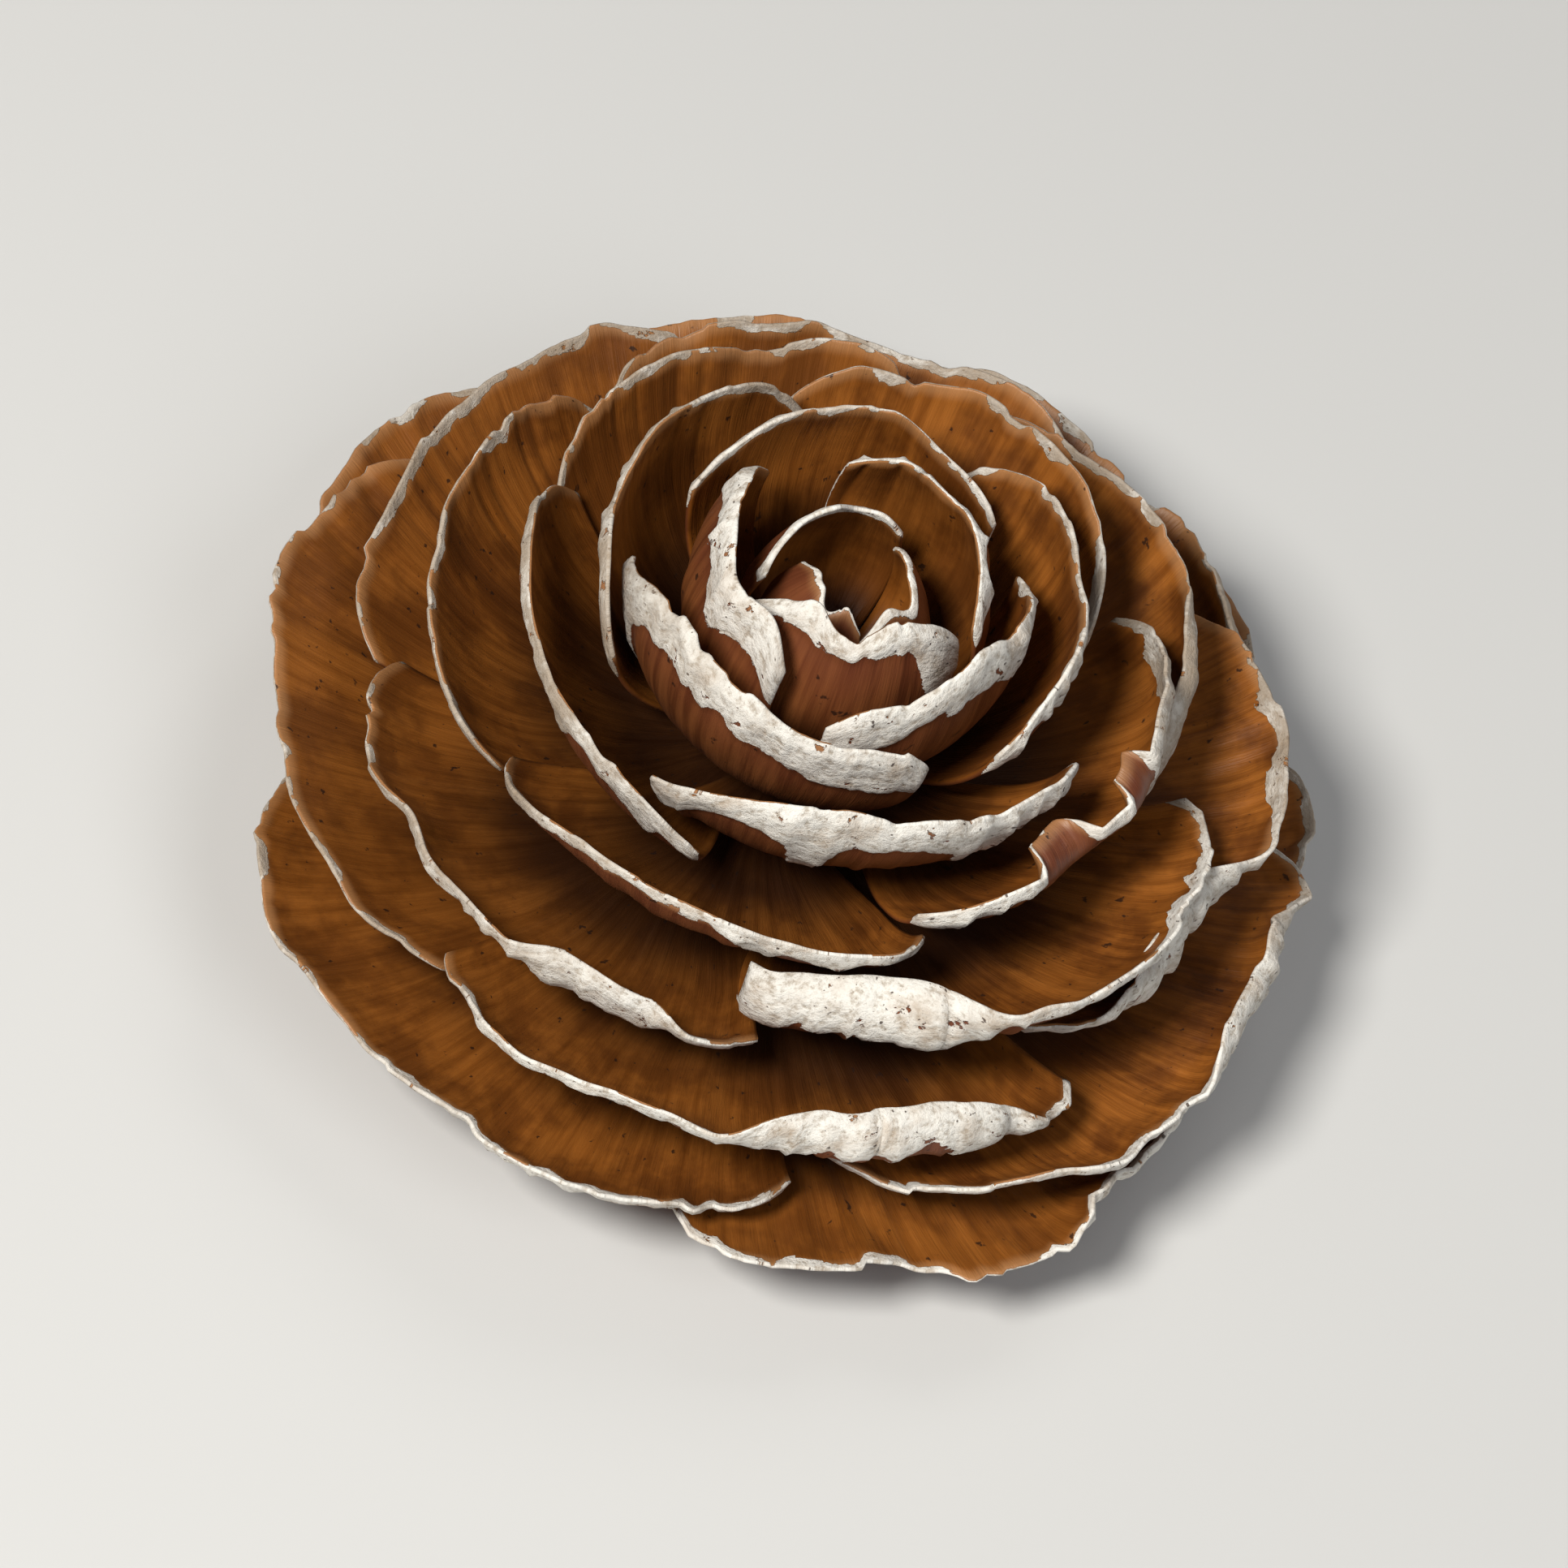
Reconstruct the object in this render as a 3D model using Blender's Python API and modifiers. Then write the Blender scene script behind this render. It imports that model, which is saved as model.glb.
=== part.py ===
"""A cedar rose: the tip of a deodar cone, its thin fan-shaped scales opened round a short woody axis.

The scales stand on the axis in the cone's own spiral, one golden angle apart. Each lies on a bowl of
its own, and the bowls are nested, so that above their claws the scales meet in only a few small places.
The rose stands on the flat broken end of its axis. Sizes are in metres and +Z is up.
"""

import math
import random

import bmesh
import bpy

# The whole rose
SCALE_COUNT = 33
GOLDEN_ANGLE = math.radians(137.508)
FIRST_AZIMUTH = math.radians(226.0)
AZIMUTH_PLAY = math.radians(8.0)
LEAN_PLAY = math.radians(10.0)
INNER_RIM_RADIUS = 0.0016
OUTER_RIM_RADIUS = 0.0274
RIM_SPREAD_ROUND = 0.8
RIM_SPREAD_POWER = 1.15
LONG_SIDE_GAIN = 0.055
LONG_SIDE_AZIMUTH = math.radians(300.0)
CROWN_HEIGHT = 0.0258
DOME_CURVE = 23.0
BUD_AGE = 0.13
BUD_DIP = 0.0040
SAG_AGE = 0.65
OUTER_SAG = 0.0030
TRAIT_SEED = 3316

# The woody axis that carries the scales
AXIS_FOOT_RADIUS = 0.0044
AXIS_NECK_RADIUS = 0.0032
AXIS_TOP_RADIUS = 0.0013
AXIS_NECK_HEIGHT = 0.0050
AXIS_TOP_HEIGHT = 0.0160
AXIS_SIDES = 14

# Where each scale's claw leaves the axis, and how steeply
CLAW_START_RADIUS = 0.0008
HIGHEST_CLAW = 0.0140
LOWEST_CLAW = 0.0018
INNER_CLAW_LEAN = math.radians(22.0)
OUTER_CLAW_LEAN = math.radians(-4.0)

# One scale
INNER_RIM_LEAN = math.radians(128.0)
OUTER_RIM_LEAN = math.radians(22.0)
INNER_HALF_ANGLE = math.radians(68.0)
OUTER_HALF_ANGLE = math.radians(43.0)
CLAW_FAN = 0.40
FULL_FAN_AT = 0.65
THIN_FROM = 0.6
CLAW_THICKNESS = 0.0012
RIM_THICKNESS = 0.0007
SMALL_SCALES = 8
SMALL_GRID = (8, 4)
LARGE_GRID = (10, 5)
SMALLEST_EDGE = 0.00001


def mix(start, end, share):
    return start + (end - start) * share


def rim_place(age):
    """(radius, height) of a rim on the dome, for a scale of age 0 at the tip to 1 at the base."""
    spread = mix(age, math.sin(age * math.pi / 2) ** RIM_SPREAD_POWER, RIM_SPREAD_ROUND)
    radius = mix(INNER_RIM_RADIUS, OUTER_RIM_RADIUS, spread)
    dip = BUD_DIP * max(0.0, 1 - age / BUD_AGE)
    sag = OUTER_SAG * (max(0.0, age - SAG_AGE) / (1 - SAG_AGE)) ** 1.5
    return radius, CROWN_HEIGHT - DOME_CURVE * radius * radius - dip - sag


def turning_point(claw, rim, claw_lean, rim_lean):
    """Where the line that leaves the claw meets the line that reaches the rim."""
    out, up = rim[0] - claw[0], rim[1] - claw[1]
    run = (out * math.sin(rim_lean) - up * math.cos(rim_lean)) / math.sin(rim_lean - claw_lean)
    return claw[0] + run * math.cos(claw_lean), claw[1] + run * math.sin(claw_lean)


def scale_traits(index, draw):
    """What sets one scale apart: its place in the spiral, its bowl and the run of its margin."""
    age = index / (SCALE_COUNT - 1)
    radius, height = rim_place(age)
    freedom = mix(0.25, 1.0, age)
    claw = (CLAW_START_RADIUS, mix(HIGHEST_CLAW, LOWEST_CLAW, age))
    place = FIRST_AZIMUTH + index * GOLDEN_ANGLE
    radius *= 1 + LONG_SIDE_GAIN * math.cos(place - LONG_SIDE_AZIMUTH)
    rim = (radius * draw.uniform(0.98, 1.02), height + draw.uniform(-0.0004, 0.0004) * freedom)
    claw_lean = mix(INNER_CLAW_LEAN, OUTER_CLAW_LEAN, age)
    rim_lean = mix(INNER_RIM_LEAN, OUTER_RIM_LEAN, age ** 0.9)
    rim_lean += draw.uniform(-LEAN_PLAY, LEAN_PLAY) * freedom
    opened = min(1.0, age / 0.5)
    return {
        "azimuth": place + draw.uniform(-AZIMUTH_PLAY, AZIMUTH_PLAY),
        "half_angle": mix(INNER_HALF_ANGLE, OUTER_HALF_ANGLE, opened) * draw.uniform(0.95, 1.06),
        "claw": claw,
        "turn": turning_point(claw, rim, claw_lean, rim_lean),
        "rim": rim,
        "tilt": draw.uniform(-0.0007, 0.0007) * freedom,
        "curl": draw.uniform(-0.0006, 0.0006) * freedom,
        "skew": draw.uniform(-0.04, 0.04) * freedom,
        "corner": draw.uniform(0.20, 0.30) * mix(0.3, 1.0, opened),
        "lobe_turn": draw.uniform(0, math.tau),
        "wave_turn": draw.uniform(0, math.tau),
        "wave": draw.uniform(0.0001, 0.0003) * freedom,
    }


def margin(traits, across):
    """How far along its bowl the scale reaches at a place across it, from -1 to 1."""
    rounded = 1 - traits["corner"] * abs(across) ** 4
    lobes = 0.022 * math.sin(5.2 * across + traits["lobe_turn"])
    nicks = 0.012 * math.sin(9.1 * across + 2.3 * traits["lobe_turn"])
    return rounded + traits["skew"] * across + lobes + nicks


def bowl(traits, reach):
    """(radius, height) along the bowl's side, from the claw at 0 to the rim at 1, and its slope."""
    back = 1 - reach
    start, turn, stop = traits["claw"], traits["turn"], traits["rim"]
    radius = back * back * start[0] + 2 * back * reach * turn[0] + reach * reach * stop[0]
    height = back * back * start[1] + 2 * back * reach * turn[1] + reach * reach * stop[1]
    run = back * (turn[0] - start[0]) + reach * (stop[0] - turn[0])
    rise = back * (turn[1] - start[1]) + reach * (stop[1] - turn[1])
    return radius, height, math.atan2(rise, run)


def surface_point(traits, across, along):
    """A point of the middle surface: across from -1 to 1, along from 0 at the claw to 1 at the rim."""
    reach = along * margin(traits, across)
    radius, height, slope = bowl(traits, reach)
    ripple = traits["wave"] * math.sin(4.0 * across + traits["wave_turn"])
    inward = reach ** 2 * (traits["tilt"] * across + traits["curl"] * across ** 2 + ripple)
    radius -= inward * math.sin(slope)
    height += inward * math.cos(slope)
    fan = mix(CLAW_FAN, 1.0, math.sin(min(1.0, along / FULL_FAN_AT) * math.pi / 2))
    angle = traits["azimuth"] + traits["half_angle"] * fan * across
    return radius * math.cos(angle), radius * math.sin(angle), height


def make_scale(index, traits, collection):
    """One fan-shaped scale: an open curved sheet, thickened, stouter at the claw than at the rim."""
    columns, rows = SMALL_GRID if index < SMALL_SCALES else LARGE_GRID
    sheet = bmesh.new()
    bmesh.ops.create_grid(sheet, x_segments=columns, y_segments=rows, size=1.0)
    thickness = []
    for vertex in sheet.verts:
        across, along = vertex.co.x, (vertex.co.y + 1) / 2
        thickness.append(mix(1.0, RIM_THICKNESS / CLAW_THICKNESS, min(1.0, along / THIN_FROM)))
        vertex.co = surface_point(traits, across, along)
    bmesh.ops.triangulate(sheet, faces=sheet.faces, quad_method="FIXED")
    mesh = bpy.data.meshes.new(f"scale_{index:02d}")
    sheet.to_mesh(mesh)
    sheet.free()
    scale = bpy.data.objects.new(mesh.name, mesh)
    collection.objects.link(scale)
    stoutness = scale.vertex_groups.new(name="stoutness")
    for number, weight in enumerate(thickness):
        stoutness.add([number], weight, "REPLACE")
    solid = scale.modifiers.new("thickness", "SOLIDIFY")
    solid.thickness = CLAW_THICKNESS
    solid.offset = 0
    solid.vertex_group = stoutness.name
    return scale


def make_axis(collection):
    """The woody axis: a turned spindle, with the flat broken end that the rose stands on."""
    profile = [
        (0.0, AXIS_TOP_HEIGHT),
        (AXIS_TOP_RADIUS * 0.7, AXIS_TOP_HEIGHT - 0.0004),
        (AXIS_TOP_RADIUS, AXIS_TOP_HEIGHT - 0.0016),
        (mix(AXIS_TOP_RADIUS, AXIS_NECK_RADIUS, 0.6), AXIS_TOP_HEIGHT * 0.6),
        (AXIS_NECK_RADIUS, AXIS_NECK_HEIGHT),
        (AXIS_NECK_RADIUS, AXIS_NECK_HEIGHT * 0.5),
        (AXIS_FOOT_RADIUS * 0.96, AXIS_NECK_HEIGHT * 0.2),
        (AXIS_FOOT_RADIUS, 0.0004),
        (AXIS_FOOT_RADIUS - 0.0004, 0.0),
        (0.0, 0.0),
    ]
    mesh = bpy.data.meshes.new("cedar_rose")
    edges = [(n, n + 1) for n in range(len(profile) - 1)]
    mesh.from_pydata([(r, 0.0, z) for r, z in profile], edges, [])
    axis = bpy.data.objects.new("cedar_rose", mesh)
    collection.objects.link(axis)
    turn = axis.modifiers.new("turn", "SCREW")
    turn.steps = turn.render_steps = AXIS_SIDES
    turn.use_merge_vertices = True
    turn.merge_threshold = SMALLEST_EDGE
    return axis


def fill_sealed_hollows(mesh):
    """Keeps the outer surface, which has the most faces: small hollows shut in between claws fill up."""
    whole = bmesh.new()
    whole.from_mesh(mesh)
    bmesh.ops.remove_doubles(whole, verts=whole.verts, dist=SMALLEST_EDGE)
    unseen = set(whole.faces)
    surfaces = []
    while unseen:
        surface = {unseen.pop()}
        edge_of_surface = list(surface)
        while edge_of_surface:
            face = edge_of_surface.pop()
            beside = {other for edge in face.edges for other in edge.link_faces} & unseen
            unseen -= beside
            surface |= beside
            edge_of_surface.extend(beside)
        surfaces.append(surface)
    surfaces.sort(key=len)
    inner = [face for surface in surfaces[:-1] for face in surface]
    bmesh.ops.delete(whole, geom=inner, context="FACES")
    whole.to_mesh(mesh)
    whole.free()


def join_scales(axis, scales):
    """The scales and the axis grew as one piece, so they become one solid."""
    join = axis.modifiers.new("grown_together", "BOOLEAN")
    join.operation = "UNION"
    join.operand_type = "COLLECTION"
    join.collection = scales
    join.solver = "MANIFOLD"
    graph = bpy.context.evaluated_depsgraph_get()
    whole = bpy.data.meshes.new_from_object(axis.evaluated_get(graph))
    axis.modifiers.clear()
    axis.data = whole
    whole.name = axis.name
    fill_sealed_hollows(whole)
    for scale in list(scales.objects):
        bpy.data.objects.remove(scale)
    bpy.data.collections.remove(scales)


def brown_material():
    material = bpy.data.materials.new("cone_scale")
    material.use_nodes = True
    shader = material.node_tree.nodes["Principled BSDF"]
    shader.inputs["Base Color"].default_value = (0.27, 0.115, 0.035, 1.0)
    shader.inputs["Roughness"].default_value = 0.55
    shader.inputs["Metallic"].default_value = 0.0
    return material


def main():
    for old in list(bpy.data.objects):
        bpy.data.objects.remove(old)
    rose = bpy.data.collections.new("cedar_rose")
    scales = bpy.data.collections.new("scales")
    bpy.context.scene.collection.children.link(rose)
    bpy.context.scene.collection.children.link(scales)
    axis = make_axis(rose)
    draw = random.Random(TRAIT_SEED)
    for index in range(SCALE_COUNT):
        make_scale(index, scale_traits(index, draw), scales)
    join_scales(axis, scales)
    axis.data.materials.clear()
    axis.data.materials.append(brown_material())
    axis.data.shade_smooth()
    axis.data.set_sharp_from_angle(angle=math.radians(40))


main()
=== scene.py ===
"""The looks of the cedar rose: fine scales on the solid model's own bowls, with dried resin on their rims.

Each scale is one closed sheet. Its middle surface follows the same rule, sizes and random draws as the
solid model, and this script adds what is too fine for that model: chipped, notched and turned-in margins,
torn tongues, crinkles, pleats, fibres and the raised crust of resin. Sizes are in metres, and +Z is up.
A scale's age is 0 for the innermost one and 1 for the lowest. Places across a scale run from -1 to 1,
and places along it from 0 at its claw to 1 at its rim.
"""

import math
import random

import bpy
import numpy as np
from mathutils import Matrix, Vector


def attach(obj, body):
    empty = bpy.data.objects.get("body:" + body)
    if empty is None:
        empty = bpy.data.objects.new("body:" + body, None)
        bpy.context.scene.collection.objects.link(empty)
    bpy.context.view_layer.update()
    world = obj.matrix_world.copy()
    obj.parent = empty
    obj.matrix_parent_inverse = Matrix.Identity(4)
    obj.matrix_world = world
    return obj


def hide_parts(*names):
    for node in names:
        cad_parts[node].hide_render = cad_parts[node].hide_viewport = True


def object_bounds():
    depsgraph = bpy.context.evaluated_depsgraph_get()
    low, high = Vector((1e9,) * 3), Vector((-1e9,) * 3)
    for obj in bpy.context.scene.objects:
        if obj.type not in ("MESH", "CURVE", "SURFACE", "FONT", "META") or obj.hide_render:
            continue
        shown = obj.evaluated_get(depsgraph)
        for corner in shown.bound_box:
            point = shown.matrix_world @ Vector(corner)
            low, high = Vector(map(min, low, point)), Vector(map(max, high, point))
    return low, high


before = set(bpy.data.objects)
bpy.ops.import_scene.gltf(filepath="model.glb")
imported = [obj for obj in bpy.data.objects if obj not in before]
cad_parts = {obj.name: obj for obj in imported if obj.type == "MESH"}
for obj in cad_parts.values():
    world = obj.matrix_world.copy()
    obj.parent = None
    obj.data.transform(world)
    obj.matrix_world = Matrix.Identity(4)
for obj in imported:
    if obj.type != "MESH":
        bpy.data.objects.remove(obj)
cad_low, cad_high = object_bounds()

MILLIMETRES = 1000

# The whole rose, as in the solid model
SCALE_COUNT = 33
GOLDEN_ANGLE = math.radians(137.508)
FIRST_AZIMUTH = math.radians(226.0)
INNER_RIM_RADIUS = 0.0016
OUTER_RIM_RADIUS = 0.0274
RIM_SPREAD_ROUND = 0.8
RIM_SPREAD_POWER = 1.15
LONG_SIDE_GAIN = 0.055
LONG_SIDE_AZIMUTH = math.radians(300.0)
CROWN_HEIGHT = 0.0258
DOME_CURVE = 23.0
BUD_AGE = 0.13
BUD_DIP = 0.0040
SAG_AGE = 0.65
OUTER_SAG = 0.0030
SAG_POWER = 1.5
CLAW_START_RADIUS = 0.0008
HIGHEST_CLAW = 0.0140
LOWEST_CLAW = 0.0018
INNER_CLAW_LEAN = math.radians(22.0)
OUTER_CLAW_LEAN = math.radians(-4.0)
INNER_RIM_LEAN = math.radians(128.0)
OUTER_RIM_LEAN = math.radians(22.0)
RIM_LEAN_POWER = 0.9
INNER_HALF_ANGLE = math.radians(68.0)
OUTER_HALF_ANGLE = math.radians(43.0)
FULL_SIZE_AGE = 0.5
CLAW_FAN = 0.40
FULL_FAN_AT = 0.65
MARGIN_POWER = 4
WAVES_ACROSS = 4.0

# Lobes of the margin, as in the solid model: depth, waves, share of the scale's own turn
LOBES = ((0.022, 5.2, 1.0), (0.012, 9.1, 2.3))

# Play of the scales, as in the solid model, where INNER_FREEDOM is the bud's share of it
TRAIT_SEED = 3316
INNER_FREEDOM = 0.25
RADIUS_PLAY = (0.98, 1.02)
HEIGHT_PLAY = 0.0004
LEAN_PLAY = math.radians(10.0)
AZIMUTH_PLAY = math.radians(8.0)
WIDTH_PLAY = (0.95, 1.06)
TILT_PLAY = 0.0007
CURL_PLAY = 0.0006
SKEW_PLAY = 0.04
CORNER_LOSS = (0.20, 0.30)
INNER_CORNERS = 0.3
WAVE_HEIGHTS = (0.0001, 0.0003)

# The woody axis
AXIS_FOOT_RADIUS = 0.0044
AXIS_NECK_RADIUS = 0.0032
AXIS_TOP_RADIUS = 0.0013
AXIS_NECK_HEIGHT = 0.0050
AXIS_TOP_HEIGHT = 0.0160
AXIS_TOP_BEVEL = 0.0010
AXIS_FOOT_BEVEL = 0.0003
AXIS_SIDES = 96
AXIS_STEPS = 12
AXIS_FIBRE_SHARE = 0.16
AXIS_FIBRES_A_SIDE = 0.6
AXIS_FIBRES_A_METRE = 500
FOOT_EDGE = 0.0006
FOOT_PIT_DEPTH = 0.0007
FOOT_PITS_A_METRE = 2200
FOOT_PIT_OFFSET = 40
FOOT_PITTED = (0.5, 0.8)

# Ages between which a change with age sets in
HEART_AGES = (0.0, 0.07)
PAST_BUD_AGES = (0.05, 0.17)
IN_BUD_AGES = (0.17, 0.10)
OPENED_AGES = (0.25, 0.5)
# Ages over which the crust takes on soil and painted shade
GRIMED_AND_SHADED_AGES = (0.10, 0.40)
INNER_BAND_AGES = (0.2, 0.5)
NARROW_CLAW_AGES = (0.3, 0.5)

# The fine scales, with broader claws in the bud, so that nothing shows through its heart
DETAIL_SEED = 7
SEEDS_A_SCALE = 20
BUD_CLAW_FAN = 0.95
SMALL_SCALES = 8
SMALL_GRID = (90, 40)
LARGE_GRID = (124, 52)
ROWS_TOWARDS_RIM = 1.5
CLAW_THICKNESS = 0.0011
RIM_THICKNESS = 0.00032
EDGE_THICKNESS = 0.00012
EDGE_ROUNDING = 0.0005
SIDE_INSET = 0.0001
THINNING = (0.0, 0.6)

# Relief of the wood, and where it sets in along the scale and in from its edge
FIBRE_HEIGHT = 0.00003
RIPPLE_HEIGHT = 0.00010
CREASES = (0.3, 1.0)
PLEAT_HEIGHT = 0.00028
PLEAT_SHARPNESS = 3
PLEAT_LEVEL = 0.3
PLEATED = (0.42, 0.66)
PLEAT_ALONG = (0.35, 0.85)
RELIEF_ALONG = (0.0, 0.35)
RELIEF_EDGE = (0.0, 0.0008)
INNER_RELIEF = 0.8

# Wear of the margins: chips, swells, crinkles and notches
CHIP_DEPTH = 0.0006
CHIP_SHARE = 1.2
ROUGH_SHARE = 0.9
CHIPPED = (0.58, 0.68)
SWELL_DEPTH = 0.0007
CRINKLE_DEPTH = 0.0007
CRINKLE_POWER = 3
BUD_RAGGEDNESS = 0.05
RAGGED_GROWTH = 1.6
SHELTERED_RAGGEDNESS = 0.55
MOST_NOTCHES = 3
NOTCH_PLACE = 0.85
NOTCH_WIDTHS = (0.02, 0.07)
NOTCH_DEPTHS = (0.0003, 0.0013)
NOTCH_POWER = 0.7
BUD_NOTCHES = 0.1
SHELTERED_NOTCHES = 0.6

# How far margins lean and roll in, and where a spot on the margin begins and is full, in its spreads
LEANING_ANGLE = math.radians(16.0)
LEANING_SHARES = (0.3, 1.0)
TURNED_BAND = 0.0054
TURNED_ANGLE = math.radians(66.0)
TURNED_PLAY = (0.85, 1.12)
TURNED_SPOT = (1.4, 0.6)
TEAR_BAND = 0.0026
TEAR_SPOT = (1.0, 0.5)
UNCRUSTED_SPOT = (1.0, 0.6)
LEAST_ANGLE = 1e-6

# Margins that are turned in, so that their crusted outer face shows:
# scale, place across it, spread, share of the full turn
TURNED_MARGINS = (
    (19, -0.76, 0.42, 0.95),
    (24, 0.40, 0.36, 0.9),
    (22, -0.42, 0.30, 0.75),
    (17, -0.60, 0.40, 0.6),
    (14, 0.45, 0.40, 0.35),
    (25, -0.60, 0.35, 0.6),
    (27, 0.42, 0.30, 0.75),
    (32, 0.42, 0.28, 0.6),
    (21, 0.48, 0.22, 0.4),
)

# Torn tongues of margin that curl in without any crust: scale, place across it, spread, angle
CURLED_TEARS = (
    (14, -0.42, 0.17, math.radians(100.0)),
    (14, 0.00, 0.12, math.radians(70.0)),
)

# The crust of dried resin on the outer faces, heaviest on the side that it ran down
CRUST_AZIMUTH = math.radians(305.0)
WORN_POWER = 3
# Worn-side shares from a clean crust, at the first, to a crust fully soiled and painted in shade, at the
# second
CLEAN_AND_UNSHADED_WEAR = (0.75, 0.15)
BUD_CRUST_WIDTH = 0.0011
INNER_CRUST_WIDTH = 0.0050
OUTER_CRUST_WIDTH = 0.0011
CRUST_WIDTH_PLAY = (0.8, 1.2)
SHELTERED_CRUST = 0.5
HEART_CRUST = 0.2
BUD_COVER = 1.1
OPEN_COVERS = (0.55, 0.8)
CRUST_HEIGHT = 0.00017
CRUST_EDGE_RISE = (-0.0001, 0.0007)
LUMP_LEVEL = 0.3
LUMP_GAIN = 1.3

# The lower edge of that crust, in millimetres, and where the crust breaks off
LEAST_CRUST = 0.25
PLAIN_SHARE = 0.25
SWELL_SHARE = 0.7
BLOT_SHARE = 1.3
BLOTTED = (0.60, 0.85)
TURNED_SWELL = 4.0
CRUST_RAGGEDNESS = 1.2
TURNED_RAGGEDNESS = 1.4
RAGGED_WIDTHS = (0.3, 1.0)
CRUST_INSET = 0.15
CRUST_SOFTNESS = 0.4
BARE_LEVEL = 0.85
WORN_COVER = 0.3
TURNED_COVER = 0.7
BREAK_SOFTNESS = 0.30

# The crust on the inner faces, in millimetres: a thin line along the rim, and a broad band on one side
INNER_BAND_AZIMUTH = math.radians(8.0)
INNER_BAND_SPREAD = math.radians(34.0)
INNER_BAND_GAIN = 1.8
RIM_LINE_WIDTHS = (0.4, 0.8)
RIM_LINE_WEAR = (0.8, 1.3)
RIM_LINE_SHOWN = (0.30, 0.75)
RIM_LINE_LEAST = (0.05, 0.25)
RIM_LINE_FRAY = 0.35
RIM_LINE_SOFTNESS = 0.10

# Random patterns on a scale: cells a millimetre across and down it, offset, seed, octaves.
# The crinkles' second number is cells along the whole scale.
LATTICE = 64
PATTERNS = {
    "margin swell": (0.20, 0.0, 0, 0, 2),
    "margin roughness": (0.9, 0.0, 3, 2, 3),
    "margin chips": (0.30, 0.0, 9, 5, 3),
    "crust swell": (0.26, 0.0, 0, 8, 3),
    "crust edge": (0.8, 0.8, 0, 9, 3),
    "crust breaks": (0.16, 0.1, 5, 11, 3),
    "crust lumps": (1.1, 1.1, 0, 14, 3),
    "fibres": (3.2, 0.22, 0, 12, 3),
    "ripples": (0.55, 0.10, 0, 13, 2),
    "crinkles": (0.22, 1.5, 11, 15, 2),
    "rim line": (0.45, 0.0, 0, 16, 3),
    "uneven roll": (0.25, 0.0, 2, 17, 2),
    "pleated places": (0.13, 0.05, 7, 18, 2),
    "pleats": (0.75, 0.06, 0, 19, 1),
    "rim fray": (1.6, 1.6, 0, 20, 2),
}

# The material's map: its third coordinate sets the scales and the axis apart
MAP_STEP = 3.7
AXIS_MAP_PLACE = 150.0
AXIS_MAP_WIDTH = 3
AXIS_FROM_RIM = 20.0
AXIS_TONE = 0.3

# Noise textures on that map in millimetres: stretch (None where even), scale, detail, roughness
TEXTURES = {
    "streaks": ((1.2, 0.06, 1.0), 1.5, 4.0, 0.6),
    "fine streaks": ((7.0, 0.28, 1.0), 1.5, 3.0, 0.6),
    "clouds": ((0.24, 0.16, 1.0), 1.0, 4.0, 0.6),
    "specks": ((1.0, 0.7, 1.0), 1.5, 3.0, 0.55),
    "grain": (None, 2.2, 5.0, 0.7),
    "pits": (None, 1.0, 4.0, 0.65),
    "frayed": (None, 1.4, 5.0, 0.75),
    "stained": (None, 0.45, 4.0, 0.65),
    "dots": (None, 2.6, 2.0, 0.5),
}

# Colours, in pairs where a texture runs from one to the other
LIT_WOOD = ((0.175, 0.051, 0.0062, 1), (0.350, 0.116, 0.0165, 1))
DIM_WOOD = ((0.082, 0.022, 0.0032, 1), (0.165, 0.049, 0.0062, 1))
RED_WOOD = ((0.095, 0.027, 0.010, 1), (0.220, 0.074, 0.024, 1))
FIBRE_LINES = (0.065, 0.019, 0.004, 1)
EVEN_WOOD = (0.190, 0.060, 0.0085, 1)
PLUM_WOOD = (0.135, 0.034, 0.017, 1)
# Painted shade, deep in the bowls towards the claws
PAINTED_CREVICE_SHADE = (0.014, 0.0042, 0.0014, 1)
WORN_WOOD = (0.42, 0.21, 0.085, 1)
WOOD_SPECKS = (0.018, 0.008, 0.005, 1)
CRUST_GRAIN = ((0.40, 0.34, 0.27, 1), (0.76, 0.725, 0.66, 1))
CRUST_STAINS = (0.36, 0.25, 0.155, 1)
CRUST_DOTS = (0.055, 0.032, 0.022, 1)
# Soil and painted shade on the crust away from the worn side
CRUST_SOIL_AND_SHADE = (0.30, 0.225, 0.155, 1)

# Gloss and bump
WOOD_ROUGHNESS = 0.31
STREAK_ROUGHNESS = 0.24
CRUST_ROUGHNESS = 0.82
SPECULAR_LEVEL = 0.42
BUMP_DISTANCE = 0.00012
BUMP_STRENGTH = 0.9

# The stage
FLOOR_REACH = 1.5
FLOOR_COLOUR = (0.56, 0.555, 0.54)
FLOOR_ROUGHNESS = 0.9
SURROUND_COLOUR = (0.9, 0.93, 1.0, 1)
SURROUND_STRENGTH = 0.10

# Lights: name, degrees to the camera's left, degrees up, distance, size, power, colour
LIGHTS = (
    ("key", 34, 52, 0.55, 0.15, 3.8, (1.0, 0.98, 0.94)),
    ("fill", -50, 50, 0.60, 0.35, 0.9, (0.94, 0.97, 1.0)),
    ("back", 190, 55, 0.60, 0.30, 0.5, (1.0, 0.98, 0.96)),
)

# The view, with the lens long enough that the rose keeps its shape
CAMERA_ELEVATION = math.radians(53.0)
CAMERA_ROLL = math.radians(22.0)
CAMERA_DISTANCE = 0.37
CAMERA_LENS = 180
CAMERA_TARGET = (0.0005, -0.0036, 0.0101)
CLIP_START = 0.01


def mix(start, end, share):
    return start + (end - start) * share


def smooth(low, high, value):
    """0 below low, 1 above high, and an S-curve between."""
    share = np.clip((value - low) / (high - low), 0.0, 1.0)
    return share * share * (3 - 2 * share)


def aged(ages, age):
    """0 before those two ages and 1 after them, or the other way round."""
    return float(smooth(*ages, age))


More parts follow.
